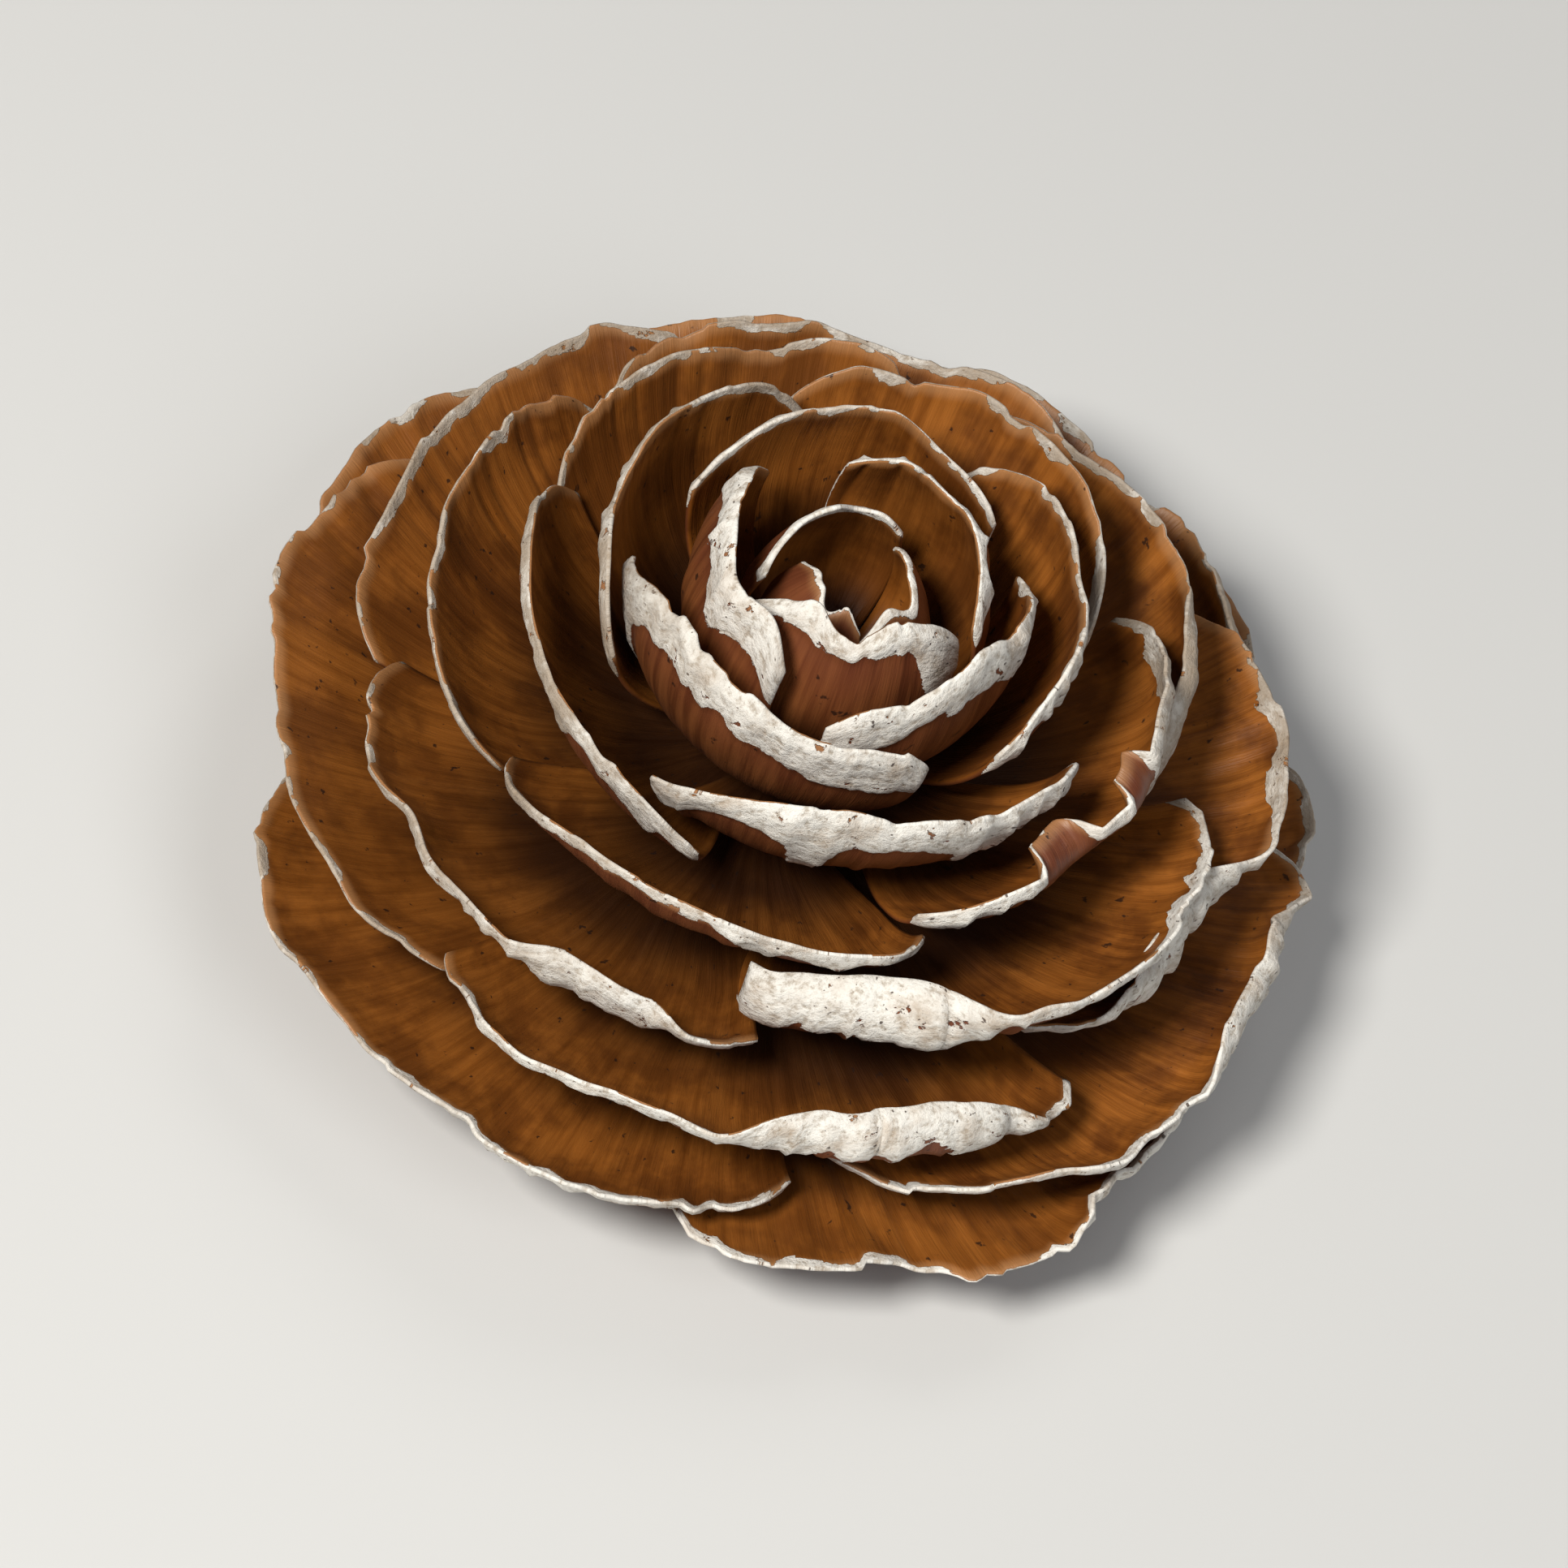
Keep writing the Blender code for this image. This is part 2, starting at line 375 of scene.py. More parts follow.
def value_noise(x, y, seed):
    """Soft random values from 0 to 1 over a plane, one new value a unit."""
    table = np.random.default_rng(seed).random((LATTICE, LATTICE))
    column, row = np.floor(x).astype(int), np.floor(y).astype(int)
    right, up = x - column, y - row
    right, up = right * right * (3 - 2 * right), up * up * (3 - 2 * up)
    column, row = column % LATTICE, row % LATTICE
    beside, above = (column + 1) % LATTICE, (row + 1) % LATTICE
    low = mix(table[column, row], table[beside, row], right)
    high = mix(table[column, above], table[beside, above], right)
    return mix(low, high, up)


def rough_noise(x, y, seed, octaves):
    """Value noise with finer and finer detail, about 0 to 1."""
    total, weight = 0.0, 0.0
    for octave in range(octaves):
        total = total + value_noise(x * 2 ** octave, y * 2 ** octave, seed + octave) / 2 ** octave
        weight += 1 / 2 ** octave
    return total / weight


def pattern(fine, name, across, down=0.0):
    """One of the named random patterns on a scale, about 0 to 1."""
    cells_across, cells_down, offset, seed, octaves = PATTERNS[name]
    x = across * fine["width"] * MILLIMETRES * cells_across + offset
    return rough_noise(x, down * cells_down, fine["seed"] + seed, octaves)


def either_way(draw, most):
    return draw.uniform(-most, most)


def rim_place(age):
    """(radius, height) of the rim of a scale of that age."""
    spread = mix(age, math.sin(age * math.pi / 2) ** RIM_SPREAD_POWER, RIM_SPREAD_ROUND)
    radius = mix(INNER_RIM_RADIUS, OUTER_RIM_RADIUS, spread)
    dip = BUD_DIP * max(0.0, 1 - age / BUD_AGE)
    sag = OUTER_SAG * (max(0.0, age - SAG_AGE) / (1 - SAG_AGE)) ** SAG_POWER
    return radius, CROWN_HEIGHT - DOME_CURVE * radius * radius - dip - sag


def turning_point(claw, rim, claw_lean, rim_lean):
    """Where the bowl's slope at the claw meets its slope at the rim."""
    out, up = rim[0] - claw[0], rim[1] - claw[1]
    run = (out * math.sin(rim_lean) - up * math.cos(rim_lean)) / math.sin(rim_lean - claw_lean)
    return claw[0] + run * math.cos(claw_lean), claw[1] + run * math.sin(claw_lean)


def scale_traits(index, draw):
    """The solid model's traits of one scale, drawn in the same order."""
    age = index / (SCALE_COUNT - 1)
    freedom = mix(INNER_FREEDOM, 1.0, age)
    opened = min(1.0, age / FULL_SIZE_AGE)
    claw = (CLAW_START_RADIUS, mix(HIGHEST_CLAW, LOWEST_CLAW, age))
    place = FIRST_AZIMUTH + index * GOLDEN_ANGLE
    radius, height = rim_place(age)
    radius *= 1 + LONG_SIDE_GAIN * math.cos(place - LONG_SIDE_AZIMUTH)
    rim = (radius * draw.uniform(*RADIUS_PLAY), height + either_way(draw, HEIGHT_PLAY) * freedom)
    claw_lean = mix(INNER_CLAW_LEAN, OUTER_CLAW_LEAN, age)
    rim_lean = mix(INNER_RIM_LEAN, OUTER_RIM_LEAN, age ** RIM_LEAN_POWER)
    rim_lean += either_way(draw, LEAN_PLAY) * freedom
    return {
        "age": age,
        "azimuth": place + either_way(draw, AZIMUTH_PLAY),
        "half_angle": mix(INNER_HALF_ANGLE, OUTER_HALF_ANGLE, opened) * draw.uniform(*WIDTH_PLAY),
        "claw": claw,
        "turn": turning_point(claw, rim, claw_lean, rim_lean),
        "rim": rim,
        "tilt": either_way(draw, TILT_PLAY) * freedom,
        "curl": either_way(draw, CURL_PLAY) * freedom,
        "skew": either_way(draw, SKEW_PLAY) * freedom,
        "corner": draw.uniform(*CORNER_LOSS) * mix(INNER_CORNERS, 1.0, opened),
        "lobe_turn": draw.uniform(0, math.tau),
        "wave_turn": draw.uniform(0, math.tau),
        "wave": draw.uniform(*WAVE_HEIGHTS) * freedom,
    }


def crust_width(age, worn):
    """How broad the outer face's crust is on a scale of that age, facing the worn side by that share."""
    inner = mix(BUD_CRUST_WIDTH, INNER_CRUST_WIDTH, aged(PAST_BUD_AGES, age))
    width = mix(inner, OUTER_CRUST_WIDTH, aged(OPENED_AGES, age))
    return width * (mix(SHELTERED_CRUST, 1.0, worn) * mix(HEART_CRUST, 1.0, aged(HEART_AGES, age)))


def draw_notches(age, worn, draw):
    """(place, width, depth) of each notch in a margin."""
    notches = []
    for _ in range(draw.randint(1, MOST_NOTCHES)):
        place = either_way(draw, NOTCH_PLACE)
        width = draw.uniform(*NOTCH_WIDTHS)
        share = mix(BUD_NOTCHES, 1.0, age * mix(SHELTERED_NOTCHES, 1.0, worn))
        notches.append((place, width, draw.uniform(*NOTCH_DEPTHS) * share))
    return notches


def fine_traits(index, traits, draw):
    """What only the fine scale has: its own seed, notches, turned margins, crust and creases."""
    age = traits["age"]
    opened = aged(OPENED_AGES, age)
    worn = 0.5 + 0.5 * math.cos(traits["azimuth"] - CRUST_AZIMUTH)
    polygon = math.dist(traits["claw"], traits["turn"]) + math.dist(traits["turn"], traits["rim"])
    raggedness = mix(BUD_RAGGEDNESS, 1.0, min(1.0, age * RAGGED_GROWTH))
    return {
        "seed": DETAIL_SEED * 1000 + index * SEEDS_A_SCALE,
        "length": 0.5 * (polygon + math.dist(traits["claw"], traits["rim"])),
        "width": traits["rim"][0] * traits["half_angle"],
        "ragged": raggedness * mix(SHELTERED_RAGGEDNESS, 1.0, worn),
        "in_bud": aged(IN_BUD_AGES, age),
        "notches": draw_notches(age, worn, draw),
        "turned": [spot[1:] for spot in TURNED_MARGINS if spot[0] == index],
        "tears": [spot[1:] for spot in CURLED_TEARS if spot[0] == index],
        "leaning": LEANING_ANGLE * opened * draw.uniform(*LEANING_SHARES),
        "crust_width": crust_width(age, worn) * draw.uniform(*CRUST_WIDTH_PLAY),
        "crust_cover": mix(BUD_COVER, draw.uniform(*OPEN_COVERS), opened),
        "rim_line": draw.uniform(*RIM_LINE_WIDTHS) * mix(*RIM_LINE_WEAR, worn),
        "crease": draw.uniform(*CREASES),
        "tone": draw.uniform(0.0, 1.0),
    }


def margin(traits, fine, across):
    """How far along its bowl the scale reaches: the solid model's margin, chipped and notched."""
    reach = 1 - traits["corner"] * np.abs(across) ** MARGIN_POWER + traits["skew"] * across
    for depth, waves, turn in LOBES:
        reach += depth * np.sin(waves * across + turn * traits["lobe_turn"])
    swell = pattern(fine, "margin swell", across) - 0.5
    rough = pattern(fine, "margin roughness", across) - 0.5
    chips = smooth(*CHIPPED, pattern(fine, "margin chips", across))
    loss = CHIP_DEPTH * fine["ragged"] * (CHIP_SHARE * chips - ROUGH_SHARE * rough)
    loss = loss - SWELL_DEPTH * (1 - fine["in_bud"]) * swell
    for place, width, depth in fine["notches"]:
        loss = loss + depth * np.clip(1 - np.abs(across - place) / width, 0.0, 1.0) ** NOTCH_POWER
    return reach - loss / fine["length"]


def bowl(traits, reach):
    """(radius, height) along the bowl's side from the claw at 0 to the rim at 1, and its slope there."""
    back = 1 - reach
    start, turn, stop = traits["claw"], traits["turn"], traits["rim"]
    radius = back * back * start[0] + 2 * back * reach * turn[0] + reach * reach * stop[0]
    height = back * back * start[1] + 2 * back * reach * turn[1] + reach * reach * stop[1]
    run = back * (turn[0] - start[0]) + reach * (stop[0] - turn[0])
    rise = back * (turn[1] - start[1]) + reach * (stop[1] - turn[1])
    return radius, height, np.arctan2(rise, run)


def at_spot(across, place, spread, edge):
    """1 at a spot on the margin and 0 away from it; edge says where it begins and is full, in spreads."""
    return smooth(edge[0] * spread, edge[1] * spread, np.abs(across - place))


def turned_share(fine, across):
    """Up to 1 where the margin is turned in and broadly crusted, 0 elsewhere."""
    share = np.zeros_like(across)
    for place, spread, amount in fine["turned"]:
        share = np.maximum(share, amount * at_spot(across, place, spread, TURNED_SPOT))
    return share


def tear_share(fine, across):
    """1 where a torn tongue of the margin curls in, 0 elsewhere."""
    share = np.zeros_like(across)
    for place, spread, _ in fine["tears"]:
        share = np.maximum(share, at_spot(across, place, spread, UNCRUSTED_SPOT))
    return share


def worn_side(traits, across):
    """1 on the side that the crust ran down and where the margins are worn most, and 0 opposite."""
    angle = traits["azimuth"] + traits["half_angle"] * across
    return (0.5 + 0.5 * np.cos(angle - CRUST_AZIMUTH)) ** WORN_POWER


def crust_grime_and_shade(traits, across):
    """How grey and brown the crust is made, as soil and as painted shade: clean in the bud and on the worn
    side, darker elsewhere.
    """
    return smooth(*CLEAN_AND_UNSHADED_WEAR, worn_side(traits, across)) * aged(GRIMED_AND_SHADED_AGES, traits["age"])


def inner_band(traits, across):
    """1 on the side where the crust covers the inside of the rims too, as a broad band."""
    angle = traits["azimuth"] + traits["half_angle"] * across
    away = np.abs((angle - INNER_BAND_AZIMUTH + math.pi) % math.tau - math.pi)
    beside = smooth(INNER_BAND_SPREAD, 0.5 * INNER_BAND_SPREAD, away)
    return beside * aged(INNER_BAND_AGES, traits["age"])


def rolled(distance, band, angle):
    """(shift in, shift back along the scale) of a margin that rolls in by that angle over its last band."""
    past = np.maximum(distance, 0.0)
    turn = np.maximum(angle * past / band, LEAST_ANGLE)
    return past * (1 - np.cos(turn)) / turn, past * (1 - np.sin(turn) / turn)


def margin_shift(traits, fine, across, past_edge):
    """How the margin leaves the plain bowl: (in, back), for its lean, its turned parts and its tears."""
    uneven = mix(*TURNED_PLAY, pattern(fine, "uneven roll", across))
    angle = fine["leaning"] * worn_side(traits, across)
    angle = angle + TURNED_ANGLE * turned_share(fine, across) * uneven
    shift_in, shift_back = rolled(past_edge + TURNED_BAND, TURNED_BAND, angle)
    for place, spread, torn_angle in fine["tears"]:
        here = at_spot(across, place, spread, TEAR_SPOT)
        more_in, more_back = rolled(past_edge + TEAR_BAND, TEAR_BAND, torn_angle * here)
        shift_in, shift_back = shift_in + more_in, shift_back + more_back
    return shift_in, shift_back


def middle_surface(traits, fine, across, along):
    """The points midway through the scale's thickness."""
    whole = margin(traits, fine, across)
    reach = along * whole
    radius, height, slope = bowl(traits, reach)
    ripple = traits["wave"] * np.sin(WAVES_ACROSS * across + traits["wave_turn"])
    inward = reach ** 2 * (traits["tilt"] * across + traits["curl"] * across ** 2 + ripple)
    crinkle = pattern(fine, "crinkles", across, along) - 0.5
    inward = inward + CRINKLE_DEPTH * 2 * crinkle * along ** CRINKLE_POWER * fine["ragged"]
    shift_in, shift_back = margin_shift(traits, fine, across, (along - 1) * whole * fine["length"])
    radius = radius - (inward + shift_in) * np.sin(slope) - shift_back * np.cos(slope)
    height = height + (inward + shift_in) * np.cos(slope) - shift_back * np.sin(slope)
    claw_fan = mix(BUD_CLAW_FAN, CLAW_FAN, aged(NARROW_CLAW_AGES, traits["age"]))
    fan = mix(claw_fan, 1.0, np.sin(np.minimum(1.0, along / FULL_FAN_AT) * math.pi / 2))
    angle = traits["azimuth"] + traits["half_angle"] * fan * across
    return np.stack([radius * np.cos(angle), radius * np.sin(angle), height], axis=-1)


def outward_normals(points):
    """Unit normals of a grid of points, on the side away from the bud."""
    across = np.gradient(points, axis=1)
    along = np.gradient(points, axis=0)
    normals = np.cross(across, along)
    return normals / np.maximum(np.linalg.norm(normals, axis=-1, keepdims=True), 1e-12)


def grid_distances(points):
    """Distance of each grid point from the rim, along its own column, and from the nearer side."""
    steps = np.linalg.norm(np.diff(points, axis=0), axis=-1)
    from_rim = np.zeros(points.shape[:2])
    from_rim[:-1] = np.cumsum(steps[::-1], axis=0)[::-1]
    steps = np.linalg.norm(np.diff(points, axis=1), axis=-1)
    from_left = np.zeros(points.shape[:2])
    from_left[:, 1:] = np.cumsum(steps, axis=1)
    return from_rim, np.minimum(from_left, from_left[:, -1:] - from_left)


def outer_crust_mask(traits, fine, across, from_rim):
    """Where resin has dried on the outer face: a band under the rim, broken and with a ragged lower edge."""
    down = from_rim * MILLIMETRES
    turned = turned_share(fine, across)
    swell = pattern(fine, "crust swell", across)
    share = PLAIN_SHARE + SWELL_SHARE * swell + BLOT_SHARE * smooth(*BLOTTED, swell)
    width = LEAST_CRUST + fine["crust_width"] * MILLIMETRES * share
    width = width + turned * (0.5 * TURNED_BAND * MILLIMETRES + TURNED_SWELL * (swell - 0.5))
    bare = BARE_LEVEL - fine["crust_cover"] - WORN_COVER * worn_side(traits, across) - TURNED_COVER * turned
    covered = smooth(bare, bare + BREAK_SOFTNESS, pattern(fine, "crust breaks", across, down))
    covered = covered * (1 - tear_share(fine, across))
    ragged = CRUST_RAGGEDNESS + TURNED_RAGGEDNESS * turned
    ragged = ragged * (pattern(fine, "crust edge", across, down) - 0.5) * np.clip(width, *RAGGED_WIDTHS)
    return smooth(-CRUST_SOFTNESS, CRUST_SOFTNESS, width * covered - CRUST_INSET - down + ragged)


def inner_crust_mask(traits, fine, across, along, from_rim):
    """Where resin has dried on the inner face: a thin line along the rim, and a band on one side."""
    line = pattern(fine, "rim line", across)
    broad = INNER_BAND_GAIN * line * inner_band(traits, across)
    width = fine["rim_line"] * (smooth(*RIM_LINE_SHOWN, line) + broad)
    width = width * (1 - tear_share(fine, across))
    fray = pattern(fine, "rim fray", across, along * fine["length"] * MILLIMETRES) - 0.5
    width = width + RIM_LINE_FRAY * fray
    within = smooth(RIM_LINE_SOFTNESS, -RIM_LINE_SOFTNESS, from_rim * MILLIMETRES - width)
    return within * smooth(*RIM_LINE_LEAST, width)


def half_thickness(along, edge):
    """Half the sheet's thickness, thinner towards the rim and rounded off at the edge."""
    body = mix(CLAW_THICKNESS, RIM_THICKNESS, smooth(*THINNING, along))
    rounding = np.sqrt(np.clip(edge / EDGE_ROUNDING, 0.0, 1.0))
    return 0.5 * mix(EDGE_THICKNESS, body, rounding)


def wood_relief(fine, across, along, edge):
    """Height of the fibres, ripples and pleats, which fade out towards the claw and the edge."""
    down = along * fine["length"] * MILLIMETRES
    fibres = pattern(fine, "fibres", across, down) - 0.5
    ripples = pattern(fine, "ripples", across, down) - 0.5
    pleated = smooth(*PLEATED, pattern(fine, "pleated places", across, down))
    pleats = 1 - np.abs(2 * pattern(fine, "pleats", across, down) - 1)
    fade = smooth(*RELIEF_ALONG, along) * smooth(*RELIEF_EDGE, edge)
    relief = fade * (FIBRE_HEIGHT * 2 * fibres + RIPPLE_HEIGHT * 2 * fine["crease"] * ripples)
    pleated = fade * smooth(*PLEAT_ALONG, along) * PLEAT_HEIGHT * pleated
    return relief + pleated * (pleats ** PLEAT_SHARPNESS - PLEAT_LEVEL)


def crust_relief(fine, across, along, edge, crust):
    """Height of the crust, lumpy and thin at the edge."""
    lumps = pattern(fine, "crust lumps", across, along * fine["length"] * MILLIMETRES)
    return CRUST_HEIGHT * crust * (LUMP_LEVEL + LUMP_GAIN * lumps) * smooth(*CRUST_EDGE_RISE, edge)


def scale_sides(fine, across, along, points, edge, crust):
    """(outer points, inner points) of one scale, on both sides of its middle surface."""
    half = half_thickness(along, edge)
    relief = wood_relief(fine, across, along, edge)
    raised = crust_relief(fine, across, along, edge, crust)
    normals = outward_normals(points)
    outer = points + normals * (half + relief + raised)[..., None]
    inner = points - normals * (half - INNER_RELIEF * relief)[..., None]
    return outer, inner


def shell_faces(rows, columns):
    """Quads of two grids back to back, joined round their border, facing out."""
    count = (rows + 1) * (columns + 1)
    row, column = np.meshgrid(np.arange(rows), np.arange(columns), indexing="ij")
    first = (row * (columns + 1) + column).ravel()
    quads = np.stack([first, first + 1, first + columns + 2, first + columns + 1], axis=1)
    border = list(range(columns + 1))
    border += [r * (columns + 1) + columns for r in range(1, rows + 1)]
    border += [rows * (columns + 1) + c for c in range(columns - 1, -1, -1)]
    border += [r * (columns + 1) for r in range(rows - 1, 0, -1)]
    here, ahead = np.array(border), np.roll(border, -1)
    rim = np.stack([ahead, here, here + count, ahead + count], axis=1)
    return np.concatenate([quads, quads[:, ::-1] + count, rim]).tolist()


def new_piece(name, points, faces, attributes):
    """A smooth-shaded mesh object with the named point attributes."""
    mesh = bpy.data.meshes.new(name)
    mesh.from_pydata(points.tolist(), [], faces)
    for key, values in attributes.items():
        kind, slot = ("FLOAT_VECTOR", "vector") if values.ndim == 2 else ("FLOAT", "value")
        layer = mesh.attributes.new(key, kind, "POINT")
        layer.data.foreach_set(slot, values.astype(np.float32).ravel())
    mesh.shade_smooth()
    piece = bpy.data.objects.new(name, mesh)
    bpy.context.scene.collection.objects.link(piece)
    return piece


def scale_map(index, fine, across, along):
    """The material's map of a scale, in millimetres across and along it."""
    return np.stack([across * fine["width"] * MILLIMETRES, along * fine["length"] * MILLIMETRES,
                     np.full(across.shape, index * MAP_STEP)], axis=-1).reshape(-1, 3)


def make_scale(index, traits, fine):
    """One scale as a closed shell that stores what its material needs on its points."""
    columns, rows = SMALL_GRID if index < SMALL_SCALES else LARGE_GRID
    across_line = np.linspace(-1, 1, columns + 1)
    along_line = 1 - (1 - np.linspace(0, 1, rows + 1)) ** ROWS_TOWARDS_RIM
    along, across = np.meshgrid(along_line, across_line, indexing="ij")
    points = middle_surface(traits, fine, across, along)
    from_rim, from_side = grid_distances(points)
    edge = np.minimum(from_rim, from_side + SIDE_INSET)
    outer_crust = outer_crust_mask(traits, fine, across, from_rim)
    inner_crust = inner_crust_mask(traits, fine, across, along, from_rim)
    outer, inner = scale_sides(fine, across, along, points, edge, outer_crust)
    attributes = {
        "fan": np.tile(scale_map(index, fine, across, along), (2, 1)),
        "crust": np.concatenate([outer_crust.ravel(), inner_crust.ravel()]),
        "outer": np.repeat([1.0, 0.0], across.size),
        "from_rim": np.tile(from_rim.ravel(), 2) * MILLIMETRES,
        "tone": np.full(across.size * 2, fine["tone"]),
        # Soil and painted shade on the crust
        "grime_and_shade": np.tile(crust_grime_and_shade(traits, across).ravel(), 2),
    }
    both = np.concatenate([outer.reshape(-1, 3), inner.reshape(-1, 3)])
    return new_piece(f"scale_{index:02d}", both, shell_faces(rows, columns), attributes)


def axis_rings():
    """(radii, heights) of the rings of points down the axis, from its top to its foot."""
    profile = (
        (0.0, AXIS_TOP_HEIGHT),
        (AXIS_TOP_RADIUS, AXIS_TOP_HEIGHT - AXIS_TOP_BEVEL),
        (mix(AXIS_TOP_RADIUS, AXIS_NECK_RADIUS, 0.6), AXIS_TOP_HEIGHT * 0.6),
        (AXIS_NECK_RADIUS, AXIS_NECK_HEIGHT),
        (AXIS_NECK_RADIUS, AXIS_NECK_HEIGHT * 0.5),
        (AXIS_FOOT_RADIUS * 0.96, AXIS_NECK_HEIGHT * 0.2),
        (AXIS_FOOT_RADIUS, AXIS_FOOT_BEVEL),
        (AXIS_FOOT_RADIUS - AXIS_FOOT_BEVEL, 0.0),
        (0.0, 0.0),
    )
    radii, heights = [], []
    for (upper_radius, upper), (lower_radius, lower) in zip(profile, profile[1:]):
        for share in np.arange(AXIS_STEPS) / AXIS_STEPS:
            radii.append(mix(upper_radius, lower_radius, share))
            heights.append(mix(upper, lower, share))
    return np.array(radii[1:]), np.array(heights[1:])


def axis_faces(rows, top, foot):
    """Quads between the rings, and fans round the middle points of the top and the foot."""
    faces = []
    for row in range(rows - 1):
        upper, lower = row * AXIS_SIDES, (row + 1) * AXIS_SIDES
        for side in range(AXIS_SIDES):
            ahead = (side + 1) % AXIS_SIDES
            faces.append([upper + side, lower + side, lower + ahead, upper + ahead])
    last = (rows - 1) * AXIS_SIDES
    for side in range(AXIS_SIDES):
        ahead = (side + 1) % AXIS_SIDES
        faces.append([top, side, ahead])
        faces.append([foot, last + ahead, last + side])
    return faces


def make_axis():
    """The woody axis, fibrous round its sides, with pits in the broken end of its foot."""
    radii, heights = axis_rings()
    turn = np.arange(AXIS_SIDES) / AXIS_SIDES * math.tau
    radius, angle = np.meshgrid(radii, turn, indexing="ij")
    height = np.repeat(heights[:, None], AXIS_SIDES, axis=1)
    place = angle * AXIS_SIDES / math.tau * AXIS_FIBRES_A_SIDE
    fibre = rough_noise(place, height * AXIS_FIBRES_A_METRE, DETAIL_SEED, 3) - 0.5
    beside = smooth(0.0, FOOT_EDGE, height)
    radius = radius * (1 + AXIS_FIBRE_SHARE * fibre * beside)
    x = radius * np.cos(angle) * FOOT_PITS_A_METRE + FOOT_PIT_OFFSET
    y = radius * np.sin(angle) * FOOT_PITS_A_METRE + FOOT_PIT_OFFSET
    pits = smooth(*FOOT_PITTED, rough_noise(x, y, DETAIL_SEED + 3, 3))
    height = height + (1 - beside) * FOOT_PIT_DEPTH * pits
    ring = np.stack([radius * np.cos(angle), radius * np.sin(angle), height], axis=-1).reshape(-1, 3)
    points = np.concatenate([ring, [[0, 0, AXIS_TOP_HEIGHT], [0, 0, 0]]])
    count = len(points)
    map_across = np.append(angle.ravel() * AXIS_MAP_WIDTH, [0, 0])
    map_along = np.append(height.ravel() * MILLIMETRES, [0, 0])
    attributes = {
        "fan": np.stack([map_across, map_along, np.full(count, AXIS_MAP_PLACE)], axis=-1),
        "crust": np.zeros(count),
        "outer": np.ones(count),
        "from_rim": np.full(count, AXIS_FROM_RIM),
        "tone": np.full(count, AXIS_TONE),
        "grime_and_shade": np.zeros(count),
    }
    return new_piece("woody_axis", points, axis_faces(len(radii), count - 2, count - 1), attributes)


class Nodes:
    """Short helpers that add and link shader nodes."""

    def __init__(self, tree):
        self.tree = tree

    def join(self, value, socket):
        """Links another node's socket to this one, or sets a plain value on it."""
        if isinstance(value, bpy.types.NodeSocket):
            self.tree.links.new(value, socket)
        else:
            socket.default_value = value

    def add(self, kind, inputs, **settings):
        node = self.tree.nodes.new(kind)
        for key, value in settings.items():
            setattr(node, key, value)
        for key, value in inputs.items():
            self.join(value, node.inputs[key])
        return node

    def attribute(self, name):
        return self.add("ShaderNodeAttribute", {}, attribute_name=name)

    def maths(self, operation, a, b, clamp=False):
        return self.add("ShaderNodeMath", {0: a, 1: b}, operation=operation, use_clamp=clamp).outputs[0]

    def ramp(self, value, low, high):
        """0 at low, 1 at high, and an S-curve between."""
        node = self.add("ShaderNodeMapRange", {"Value": value, "From Min": low, "From Max": high},
                        interpolation_type="SMOOTHSTEP")
        return node.outputs["Result"]

    def texture(self, vector, name):
        """One of the named noise textures."""
        stretch, scale, detail, roughness = TEXTURES[name]
        if stretch:
            mapping = self.add("ShaderNodeMapping", {"Vector": vector, "Scale": stretch})
            vector = mapping.outputs["Vector"]
        noise = self.add("ShaderNodeTexNoise", {"Vector": vector, "Scale": scale, "Detail": detail,
                                                "Roughness": roughness})
        return noise.outputs["Fac"]

    def number(self, share, first, second):
        return self.add("ShaderNodeMix", {0: share, 2: first, 3: second}).outputs[0]

    def colour(self, share, first, second):
        return self.add("ShaderNodeMix", {0: share, 6: first, 7: second}, data_type="RGBA").outputs[2]

    def tinted(self, base, tint, share, strength):
        """The base colour, taken towards the tint by share times strength."""
        return self.colour(self.maths("MULTIPLY", share, strength), base, tint)


def stored_values(n):
    """Sockets of what the points store: the map, and the numbers that steer the wood and the crust."""
    stored = {"fan": n.attribute("fan").outputs["Vector"]}
    for name in ("crust", "outer", "from_rim", "tone", "grime_and_shade"):
        stored[name] = n.attribute(name).outputs["Fac"]
    return stored


def wood_colour(n, stored, streaks, fine_streaks):
    """Brown, streaky wood: redder on its outer face, with painted shade darkening it towards the claw, and
    worn pale at the rim.
    """
    fan, outer, from_rim = stored["fan"], stored["outer"], stored["from_rim"]
    streaked = n.ramp(streaks, 0.22, 0.76)
    clouded = n.ramp(n.texture(fan, "clouds"), 0.38, 0.60)
    wood = n.colour(clouded, n.colour(streaked, *DIM_WOOD), n.colour(streaked, *LIT_WOOD))
    wood = n.tinted(wood, FIBRE_LINES, n.ramp(fine_streaks, 0.52, 0.74), 0.16)
    wood = n.tinted(wood, EVEN_WOOD, stored["tone"], 0.35)
    wood = n.tinted(wood, n.colour(n.ramp(streaks, 0.35, 0.65), *RED_WOOD), outer, 0.75)
    wood = n.tinted(wood, PLUM_WOOD, n.maths("MULTIPLY", n.ramp(from_rim, 6.0, 1.5), outer), 0.5)
    # Painted shade: the wood darkens towards the claw, deep in the bowls, more on the inner face than the
    # outer
    darkest_painted_shade = n.maths("SUBTRACT", 0.90, n.maths("MULTIPLY", outer, 0.45))
    wood = n.colour(n.maths("MULTIPLY", n.ramp(from_rim, 4.0, 11.0), darkest_painted_shade), wood, PAINTED_CREVICE_SHADE)
    wood = n.tinted(wood, WORN_WOOD, n.ramp(from_rim, 0.9, 0.1), 0.55)
    return n.tinted(wood, WOOD_SPECKS, n.ramp(n.texture(fan, "specks"), 0.67, 0.72), 0.85)


